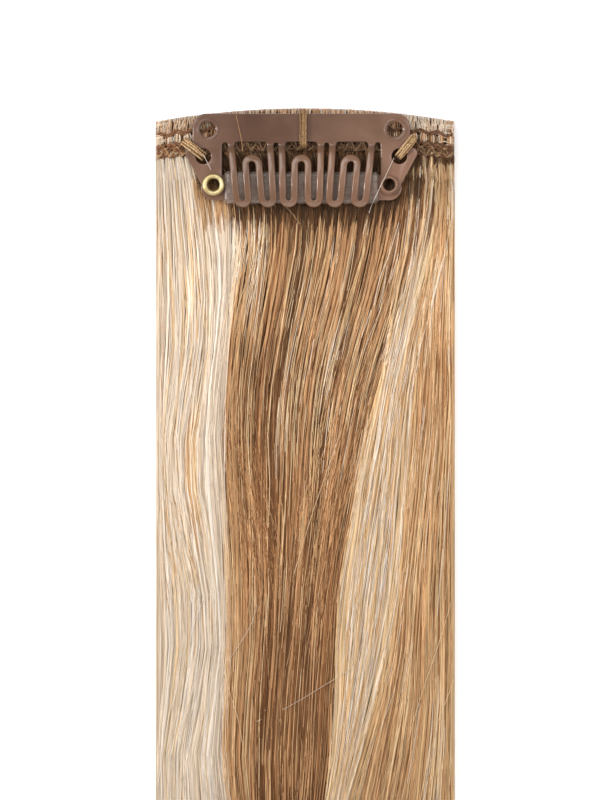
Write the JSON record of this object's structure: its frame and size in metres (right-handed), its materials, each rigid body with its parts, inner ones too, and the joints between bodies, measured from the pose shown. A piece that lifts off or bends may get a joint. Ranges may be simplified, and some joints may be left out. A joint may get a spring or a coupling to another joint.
{
  "type": "clip in hair extension",
  "caption": "Short sewn weft of streaked hair with a stamped snap clip on its front, lying on its back with the sprung comb closed.",
  "frame": {"origin": "middle of the outline in plan, on the plane that the hair lies on", "axes": "+X to the right seen from the clip's side, +Y from the hair's ends to the weft, +Z from the hair's back up to the clip"},
  "size_m": [0.0412, 0.098, 0.005],
  "materials": {
    "sewn_hair": "machine-sewn folded hair, ribbed",
    "streaked_hair": "smooth straight hair in blond and brown streaks",
    "brown_paint": "satin brown paint on thin spring steel",
    "brass": "bright rolled brass",
    "silicone": "clear soft silicone over the painted bar",
    "thread": "twisted golden beige sewing thread"
  },
  "bodies": {
    "clip": {"weft": "sewn_hair", "hair": "streaked_hair", "clip_plate": "brown_paint", "crossbar": "brown_paint", "silicone_sleeve": "silicone", "eyelet_left": "brass", "eyelet_right": "brown_paint", "thread_left": "thread", "thread_right": "thread", "thread_centre": "thread"},
    "comb": {"comb_left": "brown_paint", "comb_middle": "brown_paint", "comb_right": "brown_paint"}
  },
  "joints": [
    {"name": "comb_snap", "type": "hinge", "parent": "clip", "child": "comb", "pos_m": [-0.0005, 0.04405, 0.00355], "axis": [-1, 0, 0], "range_deg": [0, 32]}
  ]
}
